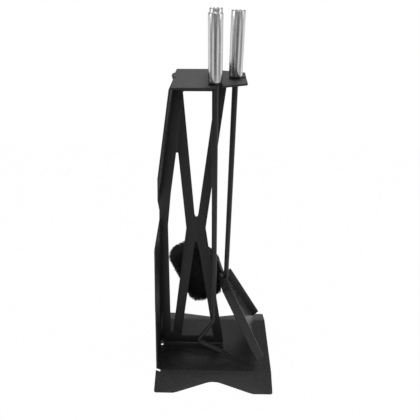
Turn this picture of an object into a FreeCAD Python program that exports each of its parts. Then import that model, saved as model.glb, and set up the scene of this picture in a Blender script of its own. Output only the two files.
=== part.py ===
import FreeCAD, Part
import math
import os
import Sketcher

# Fireplace tool set: a folded sheet stand with a base, a lattice upright and a top
# plate, and a poker, a shovel and a brush that hang in the top plate's open slots.
# Millimetres. +Z is up, and the origin is on the floor under the middle of the base.
# The stand is open towards -Y, its closed side is at -X.

Vector = FreeCAD.Vector
Rotation = FreeCAD.Rotation
Placement = FreeCAD.Placement

os.makedirs("parts", exist_ok=True)
doc = FreeCAD.newDocument("fireplace_tool_set")

# ---------------------------------------------------------------- driving dimensions

DIMENSIONS = {
    # folded sheet stand
    "gauge": 3.0,              # steel sheet thickness
    "base_width": 244.0,
    "fold_span": 147.0,        # base depth between the two flange folds
    "flange_length": 45.0,     # sloping flange, fold to toe
    "flange_angle": 24.5,      # below the horizontal
    "toe_length": 36.0,        # straight foot at each end of a flange
    "toe_shave": 0.9,          # ground off a toe's lower corner, so that it stands flat
    "arch_depth": 24.0,        # how far the V between the feet reaches in
    "arch_round": 60.0,
    "bend_outside": 4.0,
    "corner_round": 4.0,
    "relief_hole": 6.4,
    "relief_x": -116.9,
    "relief_y": -3.5,
    "slit_width": 5.0,
    "slit_depth": 9.5,
    "plate_top": 608.4,
    "plate_left": -65.7,
    "plate_right": 48.0,
    "plate_depth": 132.0,
    "plate_taper_x": -15.0,    # where the plate's long edges start to slant
    "plate_end_depth": 76.0,
    "ear_left": -69.8,         # the plate's back half reaches past the fold
    "ear_front": 16.0,
    "ear_slant": 3.5,
    "ear_root": 1.6,
    "ear_back": 30.0,
    "back_step": 0.6,
    "back_step_run": 29.0,
    "plate_relief": 4.2,       # notch in the plate at the end of its fold
    "slot_width": 11.4,
    "lower_lean": 3.22,        # lower side leaf, from the vertical
    "upper_lean": 10.07,       # upper side leaf, from the vertical
    "leaf_low_front": 331.0,   # lower leaf's top edge, front and back
    "leaf_low_back": 350.0,
    "leaf_high_front": 464.0,  # upper leaf's bottom edge, front and back
    "leaf_high_back": 391.0,
    # lattice upright
    "arm_top": 19.0,
    "waist_right": -16.8,
    "waist_height": 331.0,
    "leg_foot": 21.0,
    "leg_foot_rise": 8.0,
    "foot_cut": 13.0,          # corner left open over the relief hole
    "notch_dent": 2.2,
    "foot_depth": 11.0,
    "window_round": 2.4,
    "window_end_round": 1.6,   # at the left window's two narrow ends
    # tool stations on the top plate
    "poker_y": -42.0,
    "brush_y": 42.0,
    "shovel_x": 31.0,
    "slot_run": 24.0,          # slot length from the tool's axis, past the edge
    "slot_bearing": 65.7,      # slanted slots, turned from +X
    # shared handle
    "rod_radius": 4.75,
    "grip_radius": 10.5,
    "grip_bore": 9.0,
    "grip_length": 91.3,
    "collar_radius": 10.0,
    "collar_height": 3.0,
    "spigot_length": 16.0,
    "rod_insert": 14.0,        # rod above the collar's foot, inside the grip
    "grip_chamfer": 0.8,
    "cap_sink": 0.4,           # cap's face below the grip's rim
    "cap_plug": 12.0,          # cap inside the grip
    "cap_chamfer": 0.5,
    "hang_gap": 0.3,           # collar above the plate
    # poker
    "hook_top": 135.0,
    "hook_out": -33.5,
    "hook_out_height": 76.0,
    "hook_tip": 38.0,
    "hook_tip_height": 29.5,
    "hook_bend": 11.0,
    "point_length": 26.0,
    "point_radius": 1.6,
    # shovel
    "shovel_lean": 1.02,
    "shovel_slope": 65.3,      # blade below the horizontal
    "shovel_neck_x": 17.0,     # middle of the floor's upper edge
    "shovel_neck_z": 201.9,
    "blade_length": 176.0,
    "blade_neck": 66.2,
    "blade_lip": 135.8,
    "blade_wall": 19.0,
    "blade_gauge": 2.0,
    "heel_length": 14.0,       # narrow end of the tray, above its upper corners
    "heel_width": 24.0,
    "heel_wall": 15.0,         # height of the side walls at the heel's end
    "lip_cut": 11.6,
    "step_height": 217.0,      # where the rod turns to step behind the blade
    "step_run": 4.3,           # from the blade's upper edge to the end of the step
    "tail_length": 36.0,       # rod that lies on the blade's back
    "tail_bend": 14.0,
    "tail_room": 0.3,          # gap on each side of the rod in the blade's edge
    "edge_notch": 13.0,        # how far the rod's notch runs past the heel
    # brush
    "brush_turn": -113.4,
    "brush_x": 4.0,
    "brush_z": 208.0,
    "block_width": 24.0,
    "bristle_width": 38.0,
    "brush_rod_end": 213.5,
    "pin_radius": 1.5,
    "pin_rise": 12.0,          # above the rod's end
    "block_round": 3.0,
    "fan_round": 8.0,
    "cut_room": 4.0,           # how far a cutting outline reaches past the piece
}

# Free outlines, whose corners go into the spreadsheet too. The lattice's windows are
# (x, z) in the stand's frame. The brush's are in the brush head's own frame, where
# the second number is the way that the bristles point.
OUTLINES = {
    "upper_window": [(-51.4, 587.5), (-37.2, 361.0), (-34.0, 350.0), (-30.4, 361.0), (0.9, 587.5)],
    "left_window": [(-62.9, 484.0), (-66.3, 484.0), (-79.4, 404.0), (-87.9, 336.0), (-95.7, 60.0),
                    (-90.4, 60.0), (-53.3, 332.0)],
    "lower_window": [(-36.0, 312.5), (-72.6, 46.0), (-1.3, 46.0), (-29.4, 279.0)],
    "brush_back": [(-47.0, 6.0), (-47.0, -1.0), (-36.0, -6.0), (-14.0, -8.0),
                   (15.0, -12.0), (34.0, -9.0), (48.0, -2.0), (54.0, 6.0)],
    "bristle_fan": [(-47.0, 6.0), (-57.0, 14.0), (-64.0, 36.0), (-64.0, 64.0), (-58.0, 77.0),
                    (-46.0, 83.0), (66.0, 79.0), (73.0, 68.0), (76.0, 42.0), (70.0, 14.0),
                    (54.0, 6.0)],
}
for outline_name, corners in OUTLINES.items():
    for number, (across, along) in enumerate(corners):
        DIMENSIONS["%s_across_%d" % (outline_name, number)] = across
        DIMENSIONS["%s_along_%d" % (outline_name, number)] = along

sheet = doc.addObject("Spreadsheet::Sheet", "dims")
for row, (alias, value) in enumerate(DIMENSIONS.items(), start=1):
    sheet.set("A%d" % row, alias)
    sheet.set("B%d" % row, str(value))
    sheet.setAlias("B%d" % row, alias)
doc.recompute()


class Size:
    """A number that remembers the spreadsheet formula it comes from."""

    def __init__(self, value, formula):
        self.value = value
        self.formula = formula

    def __add__(self, other):
        other = as_size(other)
        return Size(self.value + other.value, "(%s + %s)" % (self.formula, other.formula))

    def __sub__(self, other):
        other = as_size(other)
        return Size(self.value - other.value, "(%s - %s)" % (self.formula, other.formula))

    def __mul__(self, other):
        other = as_size(other)
        return Size(self.value * other.value, "(%s * %s)" % (self.formula, other.formula))

    def __truediv__(self, other):
        other = as_size(other)
        return Size(self.value / other.value, "(%s / %s)" % (self.formula, other.formula))

    def __neg__(self):
        return Size(-self.value, "(0 - %s)" % self.formula)

    def __rsub__(self, other):
        return as_size(other) - self

    __radd__ = __add__
    __rmul__ = __mul__


def as_size(thing):
    return thing if isinstance(thing, Size) else Size(float(thing), "(%.6f)" % thing)


def dim(alias):
    return Size(float(sheet.get(alias)), "dims." + alias)


def corners_of(name):
    return [(dim("%s_across_%d" % (name, number)), dim("%s_along_%d" % (name, number)))
            for number in range(len(OUTLINES[name]))]


def sine(angle):
    return Size(math.sin(math.radians(angle.value)), "sin(%s)" % angle.formula)


def cosine(angle):
    return Size(math.cos(math.radians(angle.value)), "cos(%s)" % angle.formula)


def tangent(angle):
    return Size(math.tan(math.radians(angle.value)), "tan(%s)" % angle.formula)


# ---------------------------------------------------------------- modelling helpers

sub_parts = []


def bind(thing, prop, size):
    """Set a property's value and tie it to the spreadsheet."""
    thing.setExpression(prop, as_size(size).formula)


def new_body(label):
    body = doc.addObject("PartDesign::Body", label)
    body.Label = label
    sub_parts.append(body)
    return body


def origin_plane(body, role):
    return next(item for item in body.Origin.OriginFeatures if item.Role == role)


def outline(body, name, role, points, lift=0.0):
    """A closed sketch through points, each coordinate tied to the spreadsheet."""
    sketch = body.newObject("Sketcher::SketchObject", name)
    sketch.AttachmentSupport = [(origin_plane(body, role), "")]
    sketch.MapMode = "FlatFace"
    bind(sketch, "AttachmentOffset.Base.z", lift)
    pairs = [(as_size(first), as_size(second)) for first, second in points]
    for index, (first, second) in enumerate(pairs):
        after = pairs[(index + 1) % len(pairs)]
        start = Vector(first.value, second.value, 0)
        end = Vector(after[0].value, after[1].value, 0)
        sketch.addGeometry(Part.LineSegment(start, end))
    for index, (first, second) in enumerate(pairs):
        following = (index + 1) % len(pairs)
        sketch.addConstraint(Sketcher.Constraint("Coincident", index, 2, following, 1))
        for kind, size in (("DistanceX", first), ("DistanceY", second)):
            rule = sketch.addConstraint(Sketcher.Constraint(kind, -1, 1, index, 1, size.value))
            sketch.setExpression("Constraints[%d]" % rule, size.formula)
    return sketch


def settle(body, name):
    """Recompute after a feature, and stop where it leaves no sound solid."""
    doc.recompute()
    failed = "Invalid" in body.Tip.State or body.Shape.isNull()
    if failed or not body.Shape.isValid():
        raise RuntimeError("%s leaves %s unsound" % (name, body.Label))


def pad(body, name, sketch, length, midplane=False):
    feature = body.newObject("PartDesign::Pad", name)
    feature.Profile = sketch
    feature.Midplane = midplane
    bind(feature, "Length", length)
    settle(body, name)
    return feature


def pocket(body, name, sketch):
    """Cut a sketch right through the body, both ways."""
    before = body.Shape.Volume
    feature = body.newObject("PartDesign::Pocket", name)
    feature.Profile = sketch
    feature.Type = "ThroughAll"
    feature.Midplane = True
    settle(body, name)
    if not body.Shape.Volume < before - 1e-6:
        raise RuntimeError("%s cuts nothing" % name)
    return feature


def fillet(body, name, radius, chosen):
    """Round every edge of the body that chosen(edge) picks."""
    tip = body.Tip
    edges = ["Edge%d" % (index + 1) for index, edge in enumerate(tip.Shape.Edges) if chosen(edge)]
    if not edges:
        raise RuntimeError("%s finds no edge" % name)
    feature = body.newObject("PartDesign::Fillet", name)
    feature.Base = (tip, edges)
    bind(feature, "Radius", radius)
    settle(body, name)
    return feature


def near(value, target, slack=0.6):
    return abs(value - target) < slack


def middle(edge):
    return edge.valueAt((edge.FirstParameter + edge.LastParameter) / 2)


def runs_along(edge, axis):
    ends = edge.Vertexes
    if len(ends) != 2:
        return False
    way = (ends[1].Point - ends[0].Point).normalize()
    return abs(way.dot(axis)) > 0.999


def through_point(edge, spots, slack=0.8):
    """True where a short edge across the sheet stands at one of the (x, z) spots."""
    if not runs_along(edge, Vector(0, 1, 0)):
        return False
    centre = middle(edge)
    return any(near(centre.x, x.value, slack) and near(centre.z, z.value, slack) for x, z in spots)


# ---------------------------------------------------------------- shared positions

gauge = dim("gauge")
half_width = dim("base_width") / 2
half_fold = dim("fold_span") / 2
flange_sine = sine(dim("flange_angle"))
flange_cosine = cosine(dim("flange_angle"))
base_top = dim("flange_length") * flange_sine + gauge * flange_cosine - dim("toe_shave")
toe_y = half_fold + dim("flange_length") * flange_cosine
panel_front = gauge / 2
plate_top = dim("plate_top")
plate_under = plate_top - gauge
half_plate = dim("plate_depth") / 2
half_end = dim("plate_end_depth") / 2
collar_foot = plate_top + dim("hang_gap")
cut_room = dim("cut_room")


def lower_leaf_x(height):
    """Outside face of the lower side leaf at a height above the floor."""
    rise = as_size(height) - (base_top - gauge)
    return rise * tangent(dim("lower_lean")) - half_width


def upper_leaf_x(height):
    """Outside face of the upper side leaf at a height above the floor."""
    return dim("plate_left") - (plate_top - as_size(height)) * tangent(dim("upper_lean"))


# ---------------------------------------------------------------- base sheet

def make_base_sheet():
    body = new_body("base_sheet")
    fold_inset = gauge * tangent(dim("flange_angle") / 2)
    toe_back = toe_y - gauge * flange_sine
    toe_low = -dim("toe_shave")
    toe_rise = gauge * flange_cosine + toe_low
    under = base_top - gauge
    section = outline(body, "base_section", "YZ_Plane", [
        (-toe_y, toe_rise), (-half_fold, base_top), (half_fold, base_top), (toe_y, toe_rise),
        (toe_back, toe_low), (half_fold - fold_inset, under), (fold_inset - half_fold, under),
        (-toe_back, toe_low)])
    pad(body, "base_pad", section, dim("base_width"), midplane=True)

    leaf_top = dim("leaf_low_back") + cut_room
    face = gauge / cosine(dim("lower_lean"))
    strip = outline(body, "leaf_section", "XZ_Plane", [
        (lower_leaf_x(under), under), (lower_leaf_x(leaf_top), leaf_top),
        (lower_leaf_x(leaf_top) + face, leaf_top), (lower_leaf_x(under) + face, under)],
        lift=panel_front)
    pad(body, "leaf_pad", strip, half_fold - panel_front)

    above = leaf_top + cut_room
    trim = outline(body, "leaf_trim", "YZ_Plane", [
        (-half_fold - cut_room, dim("leaf_low_front")), (-half_fold, dim("leaf_low_front")),
        (-panel_front, dim("leaf_low_back")), (cut_room, dim("leaf_low_back")),
        (cut_room, above), (-half_fold - cut_room, above)])
    pocket(body, "leaf_top_edge", trim)

    for side, sign in (("front", -1), ("back", 1)):
        arch_start = half_width - dim("toe_length")
        apex = toe_y - dim("arch_depth")
        arch = outline(body, side + "_arch", "XY_Plane", [
            (-arch_start, sign * toe_y), (0, sign * apex), (arch_start, sign * toe_y),
            (arch_start, sign * (toe_y + cut_room)), (-arch_start, sign * (toe_y + cut_room))])
        pocket(body, side + "_arch_cut", arch)

    slit_end = dim("slit_depth") - half_width
    slit_y = dim("slit_width") / 3 - half_fold
    slit = outline(body, "corner_slit", "XY_Plane", [
        (-half_width - cut_room, slit_y + dim("slit_width")), (slit_end, slit_y),
        (slit_end, slit_y - dim("slit_width")),
        (-half_width - cut_room, slit_y - dim("slit_width") / 4)])
    pocket(body, "corner_slit_cut", slit)

    hole = body.newObject("Sketcher::SketchObject", "relief_circle")
    hole.AttachmentSupport = [(origin_plane(body, "XY_Plane"), "")]
    hole.MapMode = "FlatFace"
    centre = Vector(dim("relief_x").value, dim("relief_y").value, 0)
    hole.addGeometry(Part.Circle(centre, Vector(0, 0, 1), dim("relief_hole").value / 2))
    for kind, size in (("DistanceX", dim("relief_x")), ("DistanceY", dim("relief_y"))):
        rule = hole.addConstraint(Sketcher.Constraint(kind, -1, 1, 0, 3, size.value))
        hole.setExpression("Constraints[%d]" % rule, size.formula)
    rule = hole.addConstraint(Sketcher.Constraint("Radius", 0, dim("relief_hole").value / 2))
    hole.setExpression("Constraints[%d]" % rule, (dim("relief_hole") / 2).formula)
    pocket(body, "relief_hole_cut", hole)

    fillet(body, "arch_rounds", dim("arch_round"), lambda edge: (
        near(middle(edge).x, 0) and edge.Length < 2 * gauge.value))
    fillet(body, "toe_rounds", dim("corner_round"), lambda edge: (
        near(abs(middle(edge).x), half_width.value) and middle(edge).z < 4
        and edge.Length < 1.4 * gauge.value))
    grind = outline(body, "toe_grind", "YZ_Plane", [
        (-toe_y - cut_room, 0), (toe_y + cut_room, 0),
        (toe_y + cut_room, -cut_room), (-toe_y - cut_room, -cut_room)])
    pocket(body, "toe_grind_cut", grind)
    fillet(body, "fold_outside", dim("bend_outside"), lambda edge: (
        runs_along(edge, Vector(1, 0, 0)) and near(middle(edge).z, base_top.value, 0.1)
        and near(abs(middle(edge).y), half_fold.value, 0.1)))
    fillet(body, "leaf_corner", dim("corner_round") * 2, lambda edge: (
        middle(edge).z > 300 and middle(edge).y < -half_fold.value + 2
        and near(edge.Length, gauge.value, 1.0) and not runs_along(edge, Vector(0, 1, 0))))
    return body


# ---------------------------------------------------------------- lattice panel

def make_lattice_panel():
    body = new_body("lattice_panel")
    low = dim("leaf_low_back")
    high = dim("leaf_high_back")
    dent_height = (low + high) / 2
    cut = dim("foot_cut")
    dent = (upper_leaf_x(high) + dim("notch_dent"), dent_height)
    waist = (dim("waist_right"), dim("waist_height"))
    outer = [
        (cut - half_width, base_top), (dim("leg_foot"), base_top),
        (dim("leg_foot"), base_top + dim("leg_foot_rise")), waist,
        (dim("arm_top"), plate_under), (upper_leaf_x(plate_under) + 1, plate_under),
        (upper_leaf_x(high), high), dent,
        (lower_leaf_x(low), low), (lower_leaf_x(base_top + cut), base_top + cut)]
    panel = outline(body, "panel_outline", "XZ_Plane", outer)
    pad(body, "panel_pad", panel, gauge, midplane=True)

    foot_edge = -panel_front - dim("foot_depth")
    foot = outline(body, "foot_outline", "XY_Plane", [
        (cut - half_width, 0), (dim("leg_foot"), 0),
        (dim("leg_foot"), foot_edge), (cut - half_width, foot_edge)], lift=base_top)
    pad(body, "foot_pad", foot, gauge)

    for name in ("upper_window", "left_window", "lower_window"):
        corners = corners_of(name)
        window = outline(body, name, "XZ_Plane", corners)
        pocket(body, name + "_cut", window)
        ends = []
        if name == "left_window":
            ends = corners[:2] + corners[4:6]
            corners = corners[2:4] + corners[6:]
            fillet(body, name + "_end_rounds", dim("window_end_round"),
                   lambda edge, ends=ends: through_point(edge, ends, 0.4))
        fillet(body, name + "_rounds", dim("window_round"),
               lambda edge, corners=corners: through_point(edge, corners, 0.4))
    fillet(body, "waist_round", dim("corner_round"), lambda edge: through_point(edge, [waist, dent]))
    fillet(body, "foot_bend", dim("bend_outside"), lambda edge: (
        runs_along(edge, Vector(1, 0, 0)) and near(middle(edge).y, -panel_front.value, 0.1)
        and near(middle(edge).z, base_top.value + gauge.value, 0.1)))
    return body


# ---------------------------------------------------------------- top sheet

def slot_corners(x, y, bearing):
    """The four corners of a slot that runs from a tool's axis out past the plate's edge."""
    half = dim("slot_width") / 2
    run = dim("slot_run")
    along = (cosine(bearing), sine(bearing))
    return [(x + along[0] * reach - along[1] * offset, y + along[1] * reach + along[0] * offset)
            for reach, offset in ((-half, -half), (run, -half), (run, half), (-half, half))]


def make_top_sheet():
    body = new_body("top_sheet")
    left = dim("plate_left")
    ear = dim("ear_left")
    plate = outline(body, "plate_outline", "XY_Plane", [
        (left, -half_plate), (dim("plate_taper_x"), -half_plate), (dim("plate_right"), -half_end),
        (dim("plate_right"), half_end), (dim("plate_taper_x"), half_plate),
        (left - dim("back_step"), half_plate),
        (left - dim("back_step"), half_plate - dim("back_step_run")),
        (ear, dim("ear_back")), (ear, dim("ear_front")),
        (left - dim("ear_root"), dim("ear_front") - dim("ear_slant")),
        (left - dim("ear_root"), panel_front), (left + dim("plate_relief"), panel_front),
        (left + dim("plate_relief"), -panel_front), (left, -panel_front)], lift=plate_under)
    pad(body, "plate_pad", plate, gauge)

    stations = {
        "poker_slot": (as_size(0), dim("poker_y"), -dim("slot_bearing")),
        "brush_slot": (as_size(0), dim("brush_y"), dim("slot_bearing")),
        "shovel_slot": (dim("shovel_x"), as_size(0), as_size(0)),
    }
    for name, (x, y, bearing) in stations.items():
        slot = outline(body, name, "XY_Plane", slot_corners(x, y, bearing))
        pocket(body, name + "_cut", slot)
    # each slot ends in a half circle behind the tool's axis
    half = dim("slot_width") / 2
    seats = [((x - half * cosine(bearing)).value, (y - half * sine(bearing)).value)
             for x, y, bearing in stations.values()]
    fillet(body, "slot_rounds", half - 0.05, lambda edge: (
        runs_along(edge, Vector(0, 0, 1))
        and any(near(math.hypot(middle(edge).x - x, middle(edge).y - y), half.value, 0.3)
                for x, y in seats)))

    leaf_foot = dim("leaf_high_back") - cut_room
    face = gauge / cosine(dim("upper_lean"))
    strip = outline(body, "leaf_section", "XZ_Plane", [
        (upper_leaf_x(leaf_foot), leaf_foot), (upper_leaf_x(plate_top), plate_top),
        (upper_leaf_x(plate_top) + face, plate_top), (upper_leaf_x(leaf_foot) + face, leaf_foot)],
        lift=panel_front)
    pad(body, "leaf_pad", strip, half_plate - panel_front)

    below = leaf_foot - cut_room
    trim = outline(body, "leaf_trim", "YZ_Plane", [
        (-half_plate - cut_room, dim("leaf_high_front")), (-half_plate, dim("leaf_high_front")),
        (-panel_front, dim("leaf_high_back")), (cut_room, dim("leaf_high_back")),
        (cut_room, below), (-half_plate - cut_room, below)])
    pocket(body, "leaf_bottom_edge", trim)

    fillet(body, "plate_bend", dim("bend_outside"), lambda edge: (
        runs_along(edge, Vector(0, 1, 0)) and near(middle(edge).z, plate_top.value, 0.1)
        and near(middle(edge).x, left.value, 0.1) and middle(edge).y < 0))
    fillet(body, "plate_corners", dim("corner_round") / 2, lambda edge: (
        runs_along(edge, Vector(0, 0, 1)) and (
            near(middle(edge).x, dim("plate_right").value, 0.2)
            and near(abs(middle(edge).y), half_end.value, 0.2)
            or near(middle(edge).y, half_plate.value, 0.2))))
    fillet(body, "leaf_corner", dim("corner_round") * 2, lambda edge: (
        400 < middle(edge).z < 480 and middle(edge).y < -half_plate.value + 1
        and near(edge.Length, gauge.value, 1.0)))
    return body


# ---------------------------------------------------------------- handle pieces

def revolve(label, points):
    """A body turned about its own vertical axis from (radius, height) points."""
    body = new_body(label)
    sketch = outline(body, label + "_profile", "XZ_Plane", points)
    feature = body.newObject("PartDesign::Revolution", label + "_turning")
    feature.Profile = sketch
    feature.ReferenceAxis = (sketch, ["V_Axis"])
    feature.Angle = 360
    doc.recompute()
    return body


def place(thing, x, y, z, turn=0.0):
    """Put a piece in place, turned about the Y direction."""
    thing.Placement = Placement(Vector(0, 0, 0), Rotation(Vector(0, 1, 0), as_size(turn).value))
    for axis, size in (("x", x), ("y", y), ("z", z)):
        bind(thing, "Placement.Base." + axis, size)
    doc.recompute()


def make_handle(tool, x, y, lean):
    rod = dim("rod_radius")
    bore = dim("grip_bore")
    wide = dim("collar_radius")
    chamfer = dim("grip_chamfer")
    grip_start = dim("collar_height")
    grip_end = grip_start + dim("grip_length")
    spigot_top = grip_start + dim("spigot_length")
    collar = revolve(tool + "_collar", [
        (rod, 0), (wide - chamfer, 0), (wide, chamfer), (wide, grip_start),
        (bore, grip_start), (bore, spigot_top), (rod, spigot_top)])
    outside = dim("grip_radius")
    grip = revolve(tool + "_grip", [
        (bore, grip_start), (outside - chamfer / 2, grip_start), (outside, grip_start + chamfer / 2),
        (outside, grip_end - chamfer), (outside - chamfer, grip_end), (bore, grip_end)])
    cap_top = grip_end - dim("cap_sink")
    plug_foot = grip_end - dim("cap_plug")
    cap = revolve(tool + "_cap", [
        (0, plug_foot), (bore, plug_foot), (bore, cap_top - dim("cap_chamfer")),
        (bore - dim("cap_chamfer"), cap_top), (0, cap_top)])
    for piece in (collar, grip, cap):
        place(piece, x, y, collar_foot, lean)


# ---------------------------------------------------------------- bent rods

def bent_line(points, radii):
    """A wire of straight runs joined by tangent arcs, one radius at each inner point."""
    edges = []
    start = points[0]
    for corner, after, radius in zip(points[1:-1], points[2:], radii):
        incoming = (corner - start).normalize()
        outgoing = (after - corner).normalize()
        turn = incoming.getAngle(outgoing)
        setback = radius * math.tan(turn / 2)
        enter = corner - incoming * setback
        leave = corner + outgoing * setback
        bisector = (outgoing - incoming).normalize()
        centre = corner + bisector * (radius / math.cos(turn / 2))
        crown = centre - bisector * radius
        edges.append(Part.LineSegment(start, enter).toShape())
        edges.append(Part.Arc(enter, crown, leave).toShape())
        start = leave
    edges.append(Part.LineSegment(start, points[-1]).toShape())
    return Part.Wire(edges)


def bent_rod(label, points, radii):
    """A round bar swept along a bent line, as a Part::Sweep of a circle."""
    spine = doc.addObject("Part::Feature", label + "_line")
    spine.Shape = bent_line(points, radii)
    section = doc.addObject("Part::Circle", label + "_circle")
    bind(section, "Radius", dim("rod_radius"))
    heading = (points[1] - points[0]).normalize()
    section.Placement = Placement(points[0], Rotation(Vector(0, 0, 1), heading))
    sweep = doc.addObject("Part::Sweep", label + "_bar")
    sweep.Sections = [section]
    sweep.Spine = spine
    sweep.Solid = True
    sweep.Frenet = False
    doc.recompute()
    return sweep


def leaning(x, z, lean):
    """A point of a tool that leans by an angle about its foot on the top plate."""
    top = collar_foot.value
    swing = math.tan(math.radians(lean))
    return Vector(x + (z - top) * swing, 0, z)


def make_poker():
    y = dim("poker_y").value
    tip = Vector(dim("hook_tip").value, y, dim("hook_tip_height").value)
    elbow = Vector(dim("hook_out").value, y, dim("hook_out_height").value)
    toward_tip = (tip - elbow).normalize()
    shank_end = tip - toward_tip * dim("point_length").value
    bend = dim("hook_bend").value
    bar = bent_rod("poker_rod", [
        Vector(0, y, collar_foot.value + dim("rod_insert").value),
        Vector(0, y, dim("hook_top").value), elbow, shank_end], [bend, bend])
    point = doc.addObject("Part::Cone", "poker_point")
    bind(point, "Radius1", dim("rod_radius"))
    bind(point, "Radius2", dim("point_radius"))
    bind(point, "Height", dim("point_length"))
    point.Placement = Placement(shank_end, Rotation(Vector(0, 0, 1), toward_tip))
    rod = doc.addObject("Part::MultiFuse", "poker_rod")
    rod.Shapes = [bar, point]
    rod.Label = "poker_rod"
    sub_parts.append(rod)
    make_handle("poker", 0, dim("poker_y"), 0)


# ---------------------------------------------------------------- shovel

def make_shovel():
    lean = dim("shovel_lean").value
    slope = math.radians(dim("shovel_slope").value)
    down = Vector(math.cos(slope), 0, -math.sin(slope))
    out = Vector(math.sin(slope), 0, math.cos(slope))
    neck = Vector(dim("shovel_neck_x").value, 0, dim("shovel_neck_z").value)
    station = dim("shovel_x").value
    top = leaning(station, collar_foot.value + dim("rod_insert").value, lean)
    # the rod steps through the notch in the blade's upper edge and lies on its back
    shoulder = leaning(station, dim("step_height").value, lean)
    elbow = neck - out * dim("rod_radius").value + down * dim("step_run").value
    end = elbow + down * dim("tail_length").value
    bend = dim("tail_bend").value
    rod = bent_rod("shovel_rod", [top, shoulder, elbow, end], [bend, bend])
    rod.Label = "shovel_rod"
    sub_parts.append(rod)

    body = new_body("shovel_blade")
    half_neck = dim("blade_neck") / 2
    half_lip = dim("blade_lip") / 2
    wall = dim("blade_gauge")
    length = dim("blade_length")
    half_heel = dim("heel_width") / 2
    heel = dim("heel_length")
    tray = outline(body, "tray_outline", "XY_Plane", [
        (-heel, -half_heel), (0, -half_neck), (length, -half_lip),
        (length, half_lip), (0, half_neck), (-heel, half_heel)])
    pad(body, "tray_block", tray, dim("blade_wall"))
    # the walls turn at the neck, so the hollow's corner there is a little further on
    neck_shift = wall * 0.3
    flare = (half_lip - half_neck) / length
    broad = half_lip - wall + flare * cut_room
    hollow = outline(body, "tray_hollow", "XY_Plane", [
        (-heel - cut_room, wall - half_heel), (neck_shift - heel, wall - half_heel),
        (neck_shift, wall - half_neck), (length + cut_room, -broad),
        (length + cut_room, broad), (neck_shift, half_neck - wall),
        (neck_shift - heel, half_heel - wall), (-heel - cut_room, half_heel - wall)], lift=wall)
    before = body.Shape.Volume
    cut = body.newObject("PartDesign::Pocket", "tray_hollow_cut")
    cut.Profile = hollow
    cut.Reversed = True
    bind(cut, "Length", dim("blade_wall"))
    settle(body, "tray_hollow_cut")
    if not body.Shape.Volume < before / 2:
        raise RuntimeError("the shovel's tray is not hollow")
    ends = outline(body, "wall_ends", "XZ_Plane", [
        (length - 0.01, wall), (length - dim("lip_cut"), dim("blade_wall") + cut_room),
        (length + cut_room, dim("blade_wall") + cut_room), (length + cut_room, wall)])
    pocket(body, "wall_ends_cut", ends)
    full = dim("blade_wall")
    slant = (full - dim("heel_wall")) / heel
    taper = outline(body, "heel_taper", "XZ_Plane", [
        (0, full), (-heel - cut_room, full - slant * (heel + cut_room)),
        (-heel - cut_room, full + cut_room), (0, full + cut_room)])
    pocket(body, "heel_taper_cut", taper)
    half_notch = dim("rod_radius") + dim("tail_room")
    notch = outline(body, "edge_notch_outline", "XY_Plane", [
        (-heel - cut_room, -half_notch), (dim("edge_notch"), -half_notch),
        (dim("edge_notch"), half_notch), (-heel - cut_room, half_notch)])
    before = body.Shape.Volume
    cut = body.newObject("PartDesign::Pocket", "edge_notch_cut")
    cut.Profile = notch
    cut.Reversed = True
    bind(cut, "Length", wall)
    settle(body, "edge_notch_cut")
    if not body.Shape.Volume < before:
        raise RuntimeError("the blade's upper edge has no notch")
    fillet(body, "tray_folds", dim("blade_gauge") * 0.7, lambda edge: (
        near(middle(edge).z, 0, 0.05) and edge.Length > 150))
    place(body, neck.x, neck.y, neck.z, dim("shovel_slope"))
    make_handle("shovel", dim("shovel_x"), 0, dim("shovel_lean"))


# ---------------------------------------------------------------- brush

def make_brush():
    x = dim("brush_x")
    y = dim("brush_y")
    z = dim("brush_z")
    turn = dim("brush_turn")
    rod_end = dim("brush_rod_end")
    bar = doc.addObject("Part::Cylinder", "brush_bar")
    bind(bar, "Radius", dim("rod_radius"))
    bind(bar, "Height", collar_foot + dim("rod_insert") - rod_end)
    place(bar, 0, y, rod_end)

    blank = doc.addObject("PartDesign::Body", "block_blank")
    back = outline(blank, "block_outline", "XZ_Plane", corners_of("brush_back"))
    pad(blank, "block_pad", back, dim("block_width"), midplane=True)
    fillet(blank, "block_rounds", dim("block_round"), lambda edge: (
        abs(middle(edge).y) > 5 and middle(edge).z < -1 and edge.Length > 8))
    place(blank, x, y, z, turn)

    # a cross pin holds the rod in the block
    pin = doc.addObject("Part::Cylinder", "brush_pin")
    bind(pin, "Radius", dim("pin_radius"))
    bind(pin, "Height", dim("block_width"))
    pin.Placement = Placement(Vector(0, 0, 0), Rotation(Vector(1, 0, 0), -90))
    bind(pin, "Placement.Base.y", y - dim("block_width") / 2)
    bind(pin, "Placement.Base.z", rod_end + dim("pin_rise"))

    bores = doc.addObject("Part::MultiFuse", "block_bores")
    bores.Shapes = [bar, pin]
    block = doc.addObject("Part::Cut", "brush_block")
    block.Base = blank
    block.Tool = bores
    rod = doc.addObject("Part::Cut", "brush_rod")
    rod.Base = bar
    rod.Tool = pin
    sub_parts.extend([rod, block, pin])

    bristles = new_body("brush_bristles")
    fan = outline(bristles, "fan_outline", "XZ_Plane", corners_of("bristle_fan"))
    pad(bristles, "fan_pad", fan, dim("bristle_width"), midplane=True)
    fillet(bristles, "fan_rounds", dim("fan_round"), lambda edge: (
        abs(middle(edge).y) > 5 and middle(edge).z > 8))
    place(bristles, x, y, z, turn)
    make_handle("brush", 0, dim("brush_y"), 0)


make_base_sheet()
make_lattice_panel()
make_top_sheet()
make_poker()
make_shovel()
make_brush()
doc.recompute()

# ---------------------------------------------------------------- checks and export

for item in doc.Objects:
    if "Invalid" in item.State or "Error" in item.State:
        raise RuntimeError("%s did not recompute" % item.Name)

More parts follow.
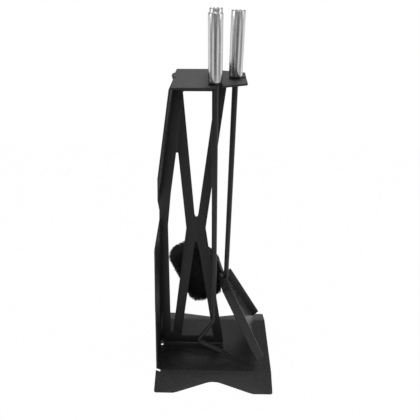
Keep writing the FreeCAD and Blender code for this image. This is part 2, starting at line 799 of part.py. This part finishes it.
for piece in sub_parts:
    shape = piece.Shape
    if shape.isNull() or not shape.isValid():
        raise RuntimeError("%s has no valid shape" % piece.Label)
    shape.exportStep("parts/%s.step" % piece.Label)
    box = shape.BoundBox
    print("%-16s solids %d volume %9.0f  x %7.1f..%6.1f  y %7.1f..%6.1f  z %6.1f..%6.1f" % (
        piece.Label, len(shape.Solids), shape.Volume,
        box.XMin, box.XMax, box.YMin, box.YMax, box.ZMin, box.ZMax))
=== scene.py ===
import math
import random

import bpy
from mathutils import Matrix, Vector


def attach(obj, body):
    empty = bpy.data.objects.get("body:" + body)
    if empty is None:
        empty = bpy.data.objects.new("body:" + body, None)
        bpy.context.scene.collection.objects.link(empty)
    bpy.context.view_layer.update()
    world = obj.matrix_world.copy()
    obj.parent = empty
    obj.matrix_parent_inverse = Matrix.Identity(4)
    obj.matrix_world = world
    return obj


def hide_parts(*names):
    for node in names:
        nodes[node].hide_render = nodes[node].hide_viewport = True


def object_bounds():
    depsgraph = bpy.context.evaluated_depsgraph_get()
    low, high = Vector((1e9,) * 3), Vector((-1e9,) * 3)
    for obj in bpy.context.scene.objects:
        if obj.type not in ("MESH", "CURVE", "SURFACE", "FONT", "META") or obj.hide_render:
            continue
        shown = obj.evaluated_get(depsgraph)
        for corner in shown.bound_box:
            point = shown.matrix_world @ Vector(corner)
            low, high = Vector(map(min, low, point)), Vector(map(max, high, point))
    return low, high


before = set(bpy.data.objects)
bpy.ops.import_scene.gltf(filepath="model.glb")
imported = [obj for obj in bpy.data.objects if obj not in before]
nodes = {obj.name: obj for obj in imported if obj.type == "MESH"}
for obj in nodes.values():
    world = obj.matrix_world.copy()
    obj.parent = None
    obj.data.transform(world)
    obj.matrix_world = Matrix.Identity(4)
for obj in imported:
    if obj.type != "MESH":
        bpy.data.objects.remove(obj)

# %% [markdown]
# # A fireplace tool set, around its CAD frame
# A poker, a shovel and a brush hang in the open slots of a folded black sheet stand.
# The CAD frame already holds every piece at its real size and place. These cells give
# the pieces their looks: broken edges that catch light, a satin powder coat, brushed
# steel grips and a real fan of bristles. The frame leaves all of its nodes selected,
# and an operator acts on whatever is selected, so the first thing done is to clear that.

MM = 0.001
cad_low, cad_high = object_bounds()
bpy.ops.object.select_all(action="DESELECT")
print("CAD box in mm:", [round(side / MM) for side in cad_high - cad_low])

# %% [markdown]
# ## Camera
# A 35 mm lens close to the set looks down on it by thirty degrees, so the base shows
# its top, and the grips at the top of the set are the nearest things to the lens. It
# could be aimed with a tracking constraint, but plain angles are easy to read and stay.

# %% Camera
CAMERA_AHEAD = 0.6536
CAMERA_HEIGHT = 0.750
CAMERA_ASIDE = 0.0046
LOOK_DOWN = math.radians(30.13)
LOOK_LEFT = math.radians(1.15)
SENSOR_MM = 36
LENS_MM = 35.14
bpy.ops.object.camera_add(
    location=(CAMERA_ASIDE, -CAMERA_AHEAD, CAMERA_HEIGHT),
    rotation=(math.pi / 2 - LOOK_DOWN, 0, LOOK_LEFT))
camera = bpy.context.object
camera.data.sensor_width = SENSOR_MM
camera.data.lens = LENS_MM
bpy.context.scene.camera = camera
print("camera looks down by", round(math.degrees(LOOK_DOWN), 1), "degrees")

# %% [markdown]
# ## Node helpers
# Every material below is a small network of nodes. Six helpers keep the cells short:
# they add a node with its sockets filled in, link two sockets, do a sum, turn a value
# into greys, blend two colours and open a fresh material. A number that is the same all
# over a surface is typed on the shader's socket.

# %% Node helpers
def add_node(tree, kind, **inputs):
    """Add a node. Keyword names with spaces as underscores are its input sockets."""
    node = tree.nodes.new("ShaderNode" + kind)
    for label, value in inputs.items():
        node.inputs[label.replace("_", " ")].default_value = value
    return node


def link(tree, output, target):
    """Join an output socket to an input socket."""
    tree.links.new(output, target)


def math_node(tree, operation, first, second=None):
    """A Math node. Each operand is a number or another node's output."""
    node = tree.nodes.new("ShaderNodeMath")
    node.operation = operation
    for socket, operand in zip(node.inputs, (first, second)):
        if operand is None:
            continue
        if isinstance(operand, (int, float)):
            socket.default_value = operand
        else:
            link(tree, operand, socket)
    return node.outputs[0]


def ramp_node(tree, factor, stops):
    """A Color Ramp with (position, grey) stops."""
    node = tree.nodes.new("ShaderNodeValToRGB")
    ramp = node.color_ramp
    while len(ramp.elements) < len(stops):
        ramp.elements.new(0.5)
    for element, (position, grey) in zip(ramp.elements, stops):
        element.position = position
        element.color = (grey, grey, grey, 1)
    link(tree, factor, node.inputs["Fac"])
    return node.outputs["Color"]


def blend_node(tree, factor, first, second):
    """A colour mix from first to second. Each is a colour or another node's output."""
    node = tree.nodes.new("ShaderNodeMix")
    node.data_type = "RGBA"
    link(tree, factor, node.inputs["Factor"])
    for label, colour in (("A", first), ("B", second)):
        if isinstance(colour, tuple):
            node.inputs[label].default_value = colour
        else:
            link(tree, colour, node.inputs[label])
    return node.outputs["Result"]


def new_material(name):
    """A material with its node tree and its main shader."""
    material = bpy.data.materials.new(name)
    material.use_nodes = True
    shader = material.node_tree.nodes["Principled BSDF"]
    return material, material.node_tree, shader


# %% [markdown]
# ## World, floors and light
# A black object is lit mostly by what it reflects, so the room matters more than the
# lamps. The world is white where the camera looks straight at it. For reflections it is
# a studio that is the same on the left and the right: dim in front, then a bright strip,
# a grey one, a broad bright one and a pale wall behind, which give the steel grips their
# bands. Above the object it turns to an even grey that brightens overhead. The bands
# are placed by the share of the way round from front to back, and the sky by the share
# of the way up from straight down to straight up.

# %% World
ROUND_THE_SIDE = [
    (0.00, 0.16), (0.10, 0.18), (0.15, 0.88), (0.24, 0.92), (0.32, 0.36), (0.46, 0.36),
    (0.54, 1.0), (0.74, 1.0), (0.80, 0.60), (1.00, 0.75)]
BANDS_TO_SKY = [(0.0, 0.0), (0.50, 0.0), (0.57, 1.0), (1.0, 1.0)]
SKY = [(0.57, 0.27), (0.88, 0.27), (0.97, 0.70)]
world = bpy.data.worlds.new("studio")
world.use_nodes = True
bpy.context.scene.world = world
tree = world.node_tree
tree.nodes.clear()
direction = add_node(tree, "TexCoord")
parts = add_node(tree, "SeparateXYZ")
link(tree, direction.outputs["Generated"], parts.inputs["Vector"])
ahead = math_node(tree, "MULTIPLY", parts.outputs["Y"], -1.0)
around = math_node(tree, "ABSOLUTE", math_node(tree, "ARCTAN2", parts.outputs["X"], ahead))
bands = ramp_node(tree, math_node(tree, "DIVIDE", around, math.pi), ROUND_THE_SIDE)
half_height = math_node(tree, "MULTIPLY", parts.outputs["Z"], 0.5)
height = math_node(tree, "ADD", half_height, 0.5)
above = ramp_node(tree, height, BANDS_TO_SKY)
sky = ramp_node(tree, height, SKY)
studio = blend_node(tree, above, bands, sky)
room = add_node(tree, "Background", Strength=1.0)
link(tree, studio, room.inputs["Color"])
backdrop = add_node(tree, "Background", Color=(1, 1, 1, 1), Strength=1.0)
seen = add_node(tree, "LightPath")
choice = tree.nodes.new("ShaderNodeMixShader")
link(tree, seen.outputs["Is Camera Ray"], choice.inputs["Fac"])
link(tree, room.outputs["Background"], choice.inputs[1])
link(tree, backdrop.outputs["Background"], choice.inputs[2])
out = tree.nodes.new("ShaderNodeOutputWorld")
link(tree, choice.outputs["Shader"], out.inputs["Surface"])
bpy.context.scene.view_settings.view_transform = "Standard"
print("world has", len(tree.nodes), "nodes")

# %% [markdown]
# The object stands on a pale sheet that takes its shadow and throws light back at it.
# The sheet ends within the picture, so a far floor lies under it, as white as the world
# behind. That one is only there for the camera: it takes no part in the light. For the
# camera both sheets glow, so that the lamps don't draw pools on them, and the near
# sheet keeps a trace of its own shade for the shadow to show in. Three softboxes shine
# from behind and from the sides, and a fourth one in front lifts the black faces.

# %% Floors and lamps
def floor_sheet(name, size, drop, glow, pale):
    """A level sheet under the object. glow is the share of its white that the camera
    sees however it is lit, and pale is the grey that other rays meet."""
    bpy.ops.mesh.primitive_plane_add(size=size, location=(0, 0, cad_low.z - drop))
    sheet = bpy.context.object
    sheet.name = name
    material, tree, shader = new_material(name)
    shader.inputs["Roughness"].default_value = 0.8
    shader.inputs["Specular IOR Level"].default_value = 0.0
    shader.inputs["Emission Color"].default_value = (1, 1, 1, 1)
    seen = add_node(tree, "LightPath")
    shade = ramp_node(tree, seen.outputs["Is Camera Ray"], [(0.0, pale), (1.0, 1.0 - glow)])
    link(tree, shade, shader.inputs["Base Color"])
    lit = math_node(tree, "MULTIPLY", seen.outputs["Is Camera Ray"], glow)
    link(tree, lit, shader.inputs["Emission Strength"])
    sheet.data.materials.append(material)
    return sheet


floor_sheet("floor", size=2.6, drop=0.2 * MM, glow=0.985, pale=0.90)
far_floor = floor_sheet("far_floor", size=60, drop=4 * MM, glow=1.0, pale=0.30)
far_floor.visible_diffuse = False
far_floor.visible_glossy = False
far_floor.visible_shadow = False


def softbox(name, place, aim, size, power):
    """A square area lamp that faces a point."""
    bpy.ops.object.light_add(type="AREA", location=place)
    lamp = bpy.context.object
    lamp.name = name
    lamp.data.size = size
    lamp.data.energy = power
    way = Vector(aim) - Vector(place)
    lamp.rotation_euler = way.to_track_quat("-Z", "Y").to_euler()


softbox("overhead", place=(0.1, 1.9, 2.1), aim=(0, 0, 0.2), size=1.6, power=9)
softbox("right_side", place=(1.9, -0.3, 1.3), aim=(0, 0, 0.4), size=0.9, power=9)
softbox("left_side", place=(-1.9, -0.4, 1.3), aim=(0, 0, 0.4), size=0.9, power=9)
softbox("front_fill", place=(0.2, -1.7, 1.8), aim=(0, -0.3, 0), size=1.2, power=13)

# %% [markdown]
# ## Shared effects
# Powder coat, bare bar and the brush block share three effects, so each is a node
# group, built once. `coat_grain` gives a fine orange-peel height and a slow cloudiness.
# `edge_wear` turns the edge mark that is stored on the broken edges into a patchy mask.
# `settled_dust` finds faces that look up and breaks the cover with noise.

# %% Node groups
def new_group(name, inputs, outputs):
    """A node group with its entry and exit. inputs are (label, socket type, default)."""
    group = bpy.data.node_groups.new(name, "ShaderNodeTree")
    for label, kind, default in inputs:
        socket = group.interface.new_socket(label, in_out="INPUT", socket_type=kind)
        socket.default_value = default
    for label, kind in outputs:
        group.interface.new_socket(label, in_out="OUTPUT", socket_type=kind)
    return group, group.nodes.new("NodeGroupInput"), group.nodes.new("NodeGroupOutput")


def use_group(tree, group, **inputs):
    """Put a node group into a material and fill in its sockets."""
    node = tree.nodes.new("ShaderNodeGroup")
    node.node_tree = group
    for label, value in inputs.items():
        node.inputs[label.replace("_", " ")].default_value = value
    return node


coat_grain, entry, leave = new_group(
    "coat_grain",
    [("Grain Scale", "NodeSocketFloat", 900.0), ("Cloud Scale", "NodeSocketFloat", 14.0)],
    [("Height", "NodeSocketFloat"), ("Cloud", "NodeSocketFloat")])
place = add_node(coat_grain, "TexCoord")
peel = add_node(coat_grain, "TexNoise", Detail=3.0, Roughness=0.55)
cloud = add_node(coat_grain, "TexNoise", Detail=5.0, Roughness=0.6)
link(coat_grain, place.outputs["Object"], peel.inputs["Vector"])
link(coat_grain, place.outputs["Object"], cloud.inputs["Vector"])
link(coat_grain, entry.outputs["Grain Scale"], peel.inputs["Scale"])
link(coat_grain, entry.outputs["Cloud Scale"], cloud.inputs["Scale"])
link(coat_grain, peel.outputs["Fac"], leave.inputs["Height"])
link(coat_grain, cloud.outputs["Fac"], leave.inputs["Cloud"])

edge_wear, entry, leave = new_group(
    "edge_wear", [("Amount", "NodeSocketFloat", 0.6)], [("Mask", "NodeSocketFloat")])
mark = add_node(edge_wear, "Attribute")
mark.attribute_name = "edge"
place = add_node(edge_wear, "TexCoord")
patches = add_node(edge_wear, "TexNoise", Scale=60.0, Detail=6.0, Roughness=0.7)
link(edge_wear, place.outputs["Object"], patches.inputs["Vector"])
broken = ramp_node(edge_wear, patches.outputs["Fac"], [(0.38, 0.25), (0.62, 1.0)])
worn = math_node(edge_wear, "MULTIPLY", mark.outputs["Fac"], broken)
worn = math_node(edge_wear, "MULTIPLY", worn, entry.outputs["Amount"])
link(edge_wear, worn, leave.inputs["Mask"])

settled_dust, entry, leave = new_group(
    "settled_dust", [("Amount", "NodeSocketFloat", 0.5)], [("Mask", "NodeSocketFloat")])
facing = add_node(settled_dust, "NewGeometry")
up = add_node(settled_dust, "SeparateXYZ")
link(settled_dust, facing.outputs["Normal"], up.inputs["Vector"])
level = ramp_node(settled_dust, up.outputs["Z"], [(0.55, 0.0), (0.95, 1.0)])
place = add_node(settled_dust, "TexCoord")
specks = add_node(settled_dust, "TexNoise", Scale=420.0, Detail=8.0, Roughness=0.8)
link(settled_dust, place.outputs["Object"], specks.inputs["Vector"])
cover = ramp_node(settled_dust, specks.outputs["Fac"], [(0.50, 0.0), (0.75, 1.0)])
dusty = math_node(settled_dust, "MULTIPLY", level, cover)
dusty = math_node(settled_dust, "MULTIPLY", dusty, entry.outputs["Amount"])
link(settled_dust, dusty, leave.inputs["Mask"])
print("node groups:", [group.name for group in bpy.data.node_groups])

# %% [markdown]
# ## Black finishes
# The stand and the shovel are powder coated: near black and satin, with orange peel so
# fine that it only softens reflections. The shovel is the glossiest, the bars come
# between the two, and the brush block is a dull moulding. One maker with a few numbers
# serves them all, so the finishes stay related, as they would be from one workshop.

# %% Black finish maker
BARE_EDGE = (0.10, 0.10, 0.105, 1)
DUST = (0.16, 0.155, 0.15, 1)
PEEL_HEIGHT = 0.2 * MM
WEAR = 0.5


def black_finish(name, dark, light, rough, specular, peel=0.12, grain=900.0, dust=0.4):
    """A coated black. dark and light are the greys that the cloud runs between, and
    rough is the middle of the roughness."""
    material, tree, shader = new_material(name)
    grain_node = use_group(tree, coat_grain, Grain_Scale=grain)
    wear_node = use_group(tree, edge_wear, Amount=WEAR)
    dust_node = use_group(tree, settled_dust, Amount=dust)
    base = ramp_node(tree, grain_node.outputs["Cloud"], [(0.3, dark), (0.7, light)])
    worn = blend_node(tree, wear_node.outputs["Mask"], base, BARE_EDGE)
    dusty = blend_node(tree, dust_node.outputs["Mask"], worn, DUST)
    link(tree, dusty, shader.inputs["Base Color"])
    shader.inputs["Specular IOR Level"].default_value = specular
    rough_ramp = ramp_node(tree, grain_node.outputs["Cloud"],
                           [(0.25, rough - 0.04), (0.75, rough + 0.05)])
    link(tree, rough_ramp, shader.inputs["Roughness"])
    bump = add_node(tree, "Bump", Strength=peel, Distance=PEEL_HEIGHT)
    link(tree, grain_node.outputs["Height"], bump.inputs["Height"])
    link(tree, bump.outputs["Normal"], shader.inputs["Normal"])
    return material


sheet_coat = black_finish("sheet_powder_coat", 0.0110, 0.0150, rough=0.44, specular=0.32)
shovel_coat = black_finish("shovel_powder_coat", 0.0120, 0.0160, rough=0.27, specular=0.42)
bar_black = black_finish("bar_black", 0.0120, 0.0165, rough=0.36, specular=0.32,
                         peel=0.2, grain=500.0)
collar_black = black_finish("collar_black", 0.005, 0.007, rough=0.42, specular=0.32, dust=0.1)
block_black = black_finish("block_black", 0.011, 0.015, rough=0.55, specular=0.2,
                           peel=0.3, grain=260.0)
print("black finishes:", [finish.name for finish in (
    sheet_coat, shovel_coat, bar_black, collar_black, block_black)])

# %% [markdown]
# ## Steel finishes
# The grips are stainless tube, ground along its length, so the surface is covered with
# hair-fine scratches that run up the tube. Noise squeezed across and stretched along
# the tube makes them. The caps were turned in a lathe, so theirs run round instead:
# the same noise, stretched the other way.

# %% Steel maker
STEEL_GREY = 0.62
SCRATCH_DEPTH = 0.05 * MM


def steel_finish(name, rough, stretch, contrast):
    """Bare steel with fine scratches. stretch scales the noise along X, Y and Z."""
    material, tree, shader = new_material(name)
    place = add_node(tree, "TexCoord")
    squeeze = add_node(tree, "Mapping", Scale=stretch)
    link(tree, place.outputs["Object"], squeeze.inputs["Vector"])
    lines = add_node(tree, "TexNoise", Scale=1.0, Detail=4.0, Roughness=0.65)
    link(tree, squeeze.outputs["Vector"], lines.inputs["Vector"])
    smears = add_node(tree, "TexNoise", Scale=120.0, Detail=4.0, Roughness=0.6)
    link(tree, place.outputs["Object"], smears.inputs["Vector"])
    base = ramp_node(tree, lines.outputs["Fac"],
                     [(0.3, STEEL_GREY - contrast), (0.7, STEEL_GREY + contrast)])
    link(tree, base, shader.inputs["Base Color"])
    both = math_node(tree, "ADD", lines.outputs["Fac"], smears.outputs["Fac"])
    both = math_node(tree, "MULTIPLY", both, 0.5)
    rough_ramp = ramp_node(tree, both, [(0.35, rough - 0.05), (0.65, rough + 0.06)])
    link(tree, rough_ramp, shader.inputs["Roughness"])
    shader.inputs["Metallic"].default_value = 1.0
    bump = add_node(tree, "Bump", Strength=0.25, Distance=SCRATCH_DEPTH)
    link(tree, lines.outputs["Fac"], bump.inputs["Height"])
    link(tree, bump.outputs["Normal"], shader.inputs["Normal"])
    return material


grip_steel = steel_finish("brushed_grip_steel", rough=0.20, contrast=0.10,
                          stretch=(1600.0, 1600.0, 60.0))
cap_steel = steel_finish("turned_cap_steel", rough=0.16, contrast=0.06,
                         stretch=(90.0, 90.0, 2600.0))
print("steel finishes:", grip_steel.name, "and", cap_steel.name)

# %% [markdown]
# ## Broken edges
# A sheet cut by laser has hard corners that look like paper until the burr is taken
# off. The frame's meshes must stay as they are and are loose triangles, so a copy is
# welded, its flat faces are joined, and a Bevel modifier breaks each sharp edge by a few
# tenths of a millimetre. The bevel also writes a second material number on the new
# faces, which becomes the `edge` attribute that the wear effect reads.

# %% Copy a node and break its edges
SHARP = math.radians(32)
FLAT = math.radians(0.4)
SAME_POINT = 0.002 * MM


def select_only(piece):
    """Make a piece the one that the next operators act on."""
    bpy.ops.object.select_all(action="DESELECT")
    piece.select_set(True)
    bpy.context.view_layer.objects.active = piece


def break_edges(node, name, width, material, body):
    """Replace a CAD node by a copy whose sharp edges are broken."""
    piece = nodes[node].copy()
    piece.data = nodes[node].data.copy()
    piece.name = name
    piece.parent = None
    for key in list(piece.keys()):
        del piece[key]
    bpy.context.collection.objects.link(piece)
    select_only(piece)
    bpy.ops.object.mode_set(mode="EDIT")
    bpy.ops.mesh.select_all(action="SELECT")
    bpy.ops.mesh.customdata_custom_splitnormals_clear()
    bpy.ops.mesh.remove_doubles(threshold=SAME_POINT)
    bpy.ops.mesh.dissolve_limited(angle_limit=FLAT)
    bpy.ops.object.mode_set(mode="OBJECT")
    piece.data.materials.clear()
    piece.data.materials.append(material)
    piece.data.materials.append(material)
    bevel = piece.modifiers.new("broken_edges", "BEVEL")
    bevel.width = width
    bevel.segments = 2
    bevel.limit_method = "ANGLE"
    bevel.angle_limit = SHARP
    bevel.material = 1
    bpy.ops.object.modifier_apply(modifier=bevel.name)
    edge = piece.data.attributes.new("edge", "FLOAT", "FACE")
    for face in piece.data.polygons:
        edge.data[face.index].value = face.material_index
        face.material_index = 0
    piece.data.materials.pop(index=1)
    bpy.ops.object.shade_smooth_by_angle(angle=SHARP)
    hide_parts(node)
    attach(piece, body)
    print(name, "has", len(piece.data.polygons), "faces")


# %% [markdown]
# ## Stand
# Three folded sheets make the stand: the base with its lower side leaf, the lattice
# upright, and the top plate with its upper side leaf. Their shapes are right in the
# frame, so only the edges are broken and the powder coat put on.

# %% Stand sheets
SHEET_BREAK = 0.35 * MM
for node in ("base_sheet", "lattice_panel", "top_sheet"):
    break_edges(node, node + "_coated", SHEET_BREAK, sheet_coat, "stand")

# %% [markdown]
# ## Shovel blade and bars
# The blade gets the same treatment with a smaller break, since its sheet is thinner.
# The round bars and the brush's pin have no corners but their ends, so their CAD meshes
# stay and only take the black finish.

# %% Shovel blade and bars
BLADE_BREAK = 0.25 * MM
BARS = ("poker_rod", "shovel_rod", "brush_rod", "brush_pin")
break_edges("shovel_blade", "shovel_blade_coated", BLADE_BREAK, shovel_coat,
            "shovel")
for node in BARS:
    nodes[node].data.materials.clear()
    nodes[node].data.materials.append(bar_black)
print("painted as they are:", BARS)

# %% [markdown]
# ## Handles
# Each tool has the same handle: a black collar that rests on the top plate, a steel
# tube, and a turned cap pushed into its top. Small breaks give the rims the bright
# lines that a turned part shows.

# %% Handles
TURNED_BREAK = 0.2 * MM
TUBE_BREAK = 0.15 * MM
for tool in ("poker", "shovel", "brush"):
    break_edges(tool + "_collar", tool + "_collar_black", TURNED_BREAK, collar_black,
                tool)
    break_edges(tool + "_grip", tool + "_grip_steel", TUBE_BREAK, grip_steel,
                tool)
    break_edges(tool + "_cap", tool + "_cap_steel", TURNED_BREAK, cap_steel,
                tool)

# %% [markdown]
# ## Brush block
# The block is a curved back. The brush hangs turned, so the next cell measures the
# block and the bristles along the brush's own axes: X runs along the block, Y runs
# through it and Z is the way that the bristles point.

# %% The brush's own axes
BLOCK_BREAK = 0.4 * MM
BRUSH_TURN = math.radians(-113.4)
break_edges("brush_block", "brush_block_black", BLOCK_BREAK, block_black,
            "brush")
brush_axes = Matrix.Rotation(BRUSH_TURN, 3, "Y")


def own_box(node):
    """Lowest and highest corner of a node along the brush's own axes."""
    local = [brush_axes.transposed() @ vertex.co for vertex in nodes[node].data.vertices]
    low = Vector([min(point[axis] for point in local) for axis in range(3)])
    high = Vector([max(point[axis] for point in local) for axis in range(3)])
    return low, high


block_low, block_high = own_box("brush_block")
fan_low, fan_high = own_box("brush_bristles")
print("bristles reach", round((fan_high.z - block_high.z) / MM), "mm out of the block")

# %% [markdown]
# ## Bristles
# A hearth brush is a block full of tufts that splay as they leave it and are cut to a
# rounded end. A soft lump with a hair texture would show a smooth outline, and hair
# curves would be lost in the export, so each bristle is a thin three-sided mesh. One is
# modelled with operators, one unit across and one unit long: a cone of three sides, cut
# once across its middle. Its copies are then bent, each between its root in the block
# and its tip on the cut surface.

# %% One bristle
bpy.ops.mesh.primitive_cone_add(
    vertices=3, radius1=0.5, radius2=0.28, depth=1, end_fill_type="NGON", location=(0, 0, 0.5))
pattern = bpy.context.object
bpy.ops.object.mode_set(mode="EDIT")
bpy.ops.mesh.select_all(action="SELECT")
bpy.ops.mesh.bisect(plane_co=(0, 0, 0.5), plane_no=(0, 0, 1))
bpy.ops.object.mode_set(mode="OBJECT")
pattern_points = [vertex.co.copy() + pattern.location for vertex in pattern.data.vertices]
pattern_faces = [tuple(face.vertices) for face in pattern.data.polygons]
bpy.data.objects.remove(pattern)
print("a bristle has", len(pattern_points), "points and", len(pattern_faces), "faces")

# %% [markdown]
# The cut surface is drawn as a profile across the brush, in shares of the bristles'
# own box, from one end of the block over the tips to the other end. A share of the way
# along that profile gives a bristle's tip, and the same share gives its root.

# %% The cut surface
PROFILE = [
    (0.05, 0.10), (0.00, 0.39), (0.00, 0.75), (0.04, 0.92), (0.13, 1.0),
    (0.93, 0.95), (0.98, 0.80), (1.00, 0.47), (0.96, 0.10)]
fan_size = fan_high - fan_low
profile = [Vector((fan_low.x + fan_size.x * across, 0, fan_low.z + fan_size.z * out))
           for across, out in PROFILE]
lengths = [(after - before).length for before, after in zip(profile, profile[1:])]


def tip_on_profile(share):
    """The point at a share of the cut surface's length."""
    left = share * sum(lengths)
    for before, after, length in zip(profile, profile[1:], lengths):
        if left <= length:
            return before.lerp(after, left / length)
        left -= length
    return profile[-1].copy()


print("the cut surface runs for", round(sum(lengths) / MM), "mm")

# %% [markdown]
# A real brush isn't cut clean. Most tips lie close to the surface, a few stand out, and
# a tenth of those at one end of the block fly away outwards. Each bristle leaves the
# block nearly straight and then bends to its tip.

# %% Roots and tips
INSET = 3.5 * MM
ROOT_DEPTH = 1.5 * MM
SHARE_SPREAD = 0.007
LENGTH_SPREAD = 0.008
SIDE_ROUNDING = 0.03
TIP_SPREAD = 0.5 * MM
STRAY_SPREAD = 2.0 * MM
STRAY_SHARE = 0.05
FLYAWAY_START = 0.93
FLYAWAY_SHARE = 0.10
FLYAWAY_MM = (1.5, 4.5)
STRAIGHTNESS = 0.35


def bristle_line(share, side, rng):
    """Root, middle and tip of a bristle. share runs along the block's face from 0 to 1,
    and side runs across it from -1 to 1."""
    half_depth = (block_high.y - block_low.y) / 2
    root = Vector((
        block_low.x + INSET + share * (block_high.x - block_low.x - 2 * INSET),
        (block_low.y + block_high.y) / 2 + side * (half_depth - INSET),
        block_high.z - ROOT_DEPTH))
    tip = tip_on_profile(min(1.0, max(0.0, share + rng.gauss(0, SHARE_SPREAD))))
    tip.y = (fan_low.y + fan_high.y) / 2 + side * fan_size.y / 2
    shorter = 1 - SIDE_ROUNDING * abs(side) ** 3 - abs(rng.gauss(0, LENGTH_SPREAD))
    tip = root.lerp(tip, shorter)
    spread = STRAY_SPREAD if rng.random() < STRAY_SHARE else TIP_SPREAD
    tip += Vector([rng.gauss(0, spread) for _ in range(3)])
    if share > FLYAWAY_START and rng.random() < FLYAWAY_SHARE:
        tip.x += rng.uniform(*FLYAWAY_MM) * MM
    straight = root + Vector((0, 0, (tip - root).length * 0.5))
    middle = root.lerp(tip, 0.5).lerp(straight, STRAIGHTNESS)
    return root, middle, tip


def bristle_points_on(root, middle, tip, turn):
    """The pattern's points, moved on to the line from root over middle to tip."""
    heading = (tip - root).normalized()
    flat = heading.orthogonal().normalized()
    flat.rotate(Matrix.Rotation(turn, 3, heading))
    cross = heading.cross(flat)
    placed = []
    for spot in pattern_points:
        if spot.z <= 0.5:
            centre = root.lerp(middle, spot.z * 2)
        else:
            centre = middle.lerp(tip, spot.z * 2 - 1)
        offset = (flat * spot.x + cross * spot.y) * BRISTLE_THICK
        placed.append(brush_axes @ (centre + offset))
    return placed


# %% [markdown]
# The tufts stand in rows on the block. A bristle's place within its tuft, its turn and
# its tone are drawn from one seeded source, so the brush is the same on every run.

# %% Bristle mesh
TUFT_ROWS = 7
TUFTS_A_ROW = 34
BRISTLES_A_TUFT = 56
TUFT_REACH = 0.42
BRISTLE_THICK = 0.52 * MM
rng = random.Random(41)
points, faces, along, shade = [], [], [], []
for row in range(TUFT_ROWS):
    for column in range(TUFTS_A_ROW):
        for _ in range(BRISTLES_A_TUFT):
            share = (column + 0.5 + rng.uniform(-TUFT_REACH, TUFT_REACH)) / TUFTS_A_ROW
            side = (2 * (row + 0.5 + rng.uniform(-TUFT_REACH, TUFT_REACH)) / TUFT_ROWS) - 1
            root, middle, tip = bristle_line(share, side, rng)
            turn = rng.uniform(0, math.pi)
            tone = rng.random()
            first = len(points)
            points.extend(bristle_points_on(root, middle, tip, turn))
            along.extend(spot.z for spot in pattern_points)
            shade.extend(tone for spot in pattern_points)
            faces.extend(tuple(first + index for index in face) for face in pattern_faces)
mesh = bpy.data.meshes.new("brush_fan")
mesh.from_pydata(points, [], faces)
for label, values in (("along", along), ("shade", shade)):
    mesh.attributes.new(label, "FLOAT", "POINT").data.foreach_set("value", values)
fan = bpy.data.objects.new("brush_fan", mesh)
bpy.context.collection.objects.link(fan)
select_only(fan)
bpy.ops.object.mode_set(mode="EDIT")
bpy.ops.mesh.select_all(action="SELECT")
bpy.ops.mesh.normals_make_consistent(inside=False)
bpy.ops.object.mode_set(mode="OBJECT")
bpy.ops.object.shade_smooth()
print("the fan has", TUFT_ROWS * TUFTS_A_ROW * BRISTLES_A_TUFT, "bristles")

# %% [markdown]
# The bristles are black fibre with a dull shine. Each bristle has its own tone, kept
# in the `shade` attribute, and the tips are a little greyer where they rub.

# %% Bristle material
RUBBED_TIP = (0.022, 0.0215, 0.021, 1)
fibre, tree, shader = new_material("bristle_fibre")
own_tone = add_node(tree, "Attribute")
own_tone.attribute_name = "shade"
length_share = add_node(tree, "Attribute")
length_share.attribute_name = "along"
tone = ramp_node(tree, own_tone.outputs["Fac"], [(0.0, 0.0090), (0.8, 0.0130), (1.0, 0.020)])
tip_tone = ramp_node(tree, length_share.outputs["Fac"], [(0.7, 0.0), (1.0, 0.5)])
link(tree, blend_node(tree, tip_tone, tone, RUBBED_TIP), shader.inputs["Base Color"])
shader.inputs["Roughness"].default_value = 0.55
shader.inputs["Specular IOR Level"].default_value = 0.2
fan.data.materials.append(fibre)
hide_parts("brush_bristles")
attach(fan, "brush")
print("fan material:", fibre.name)
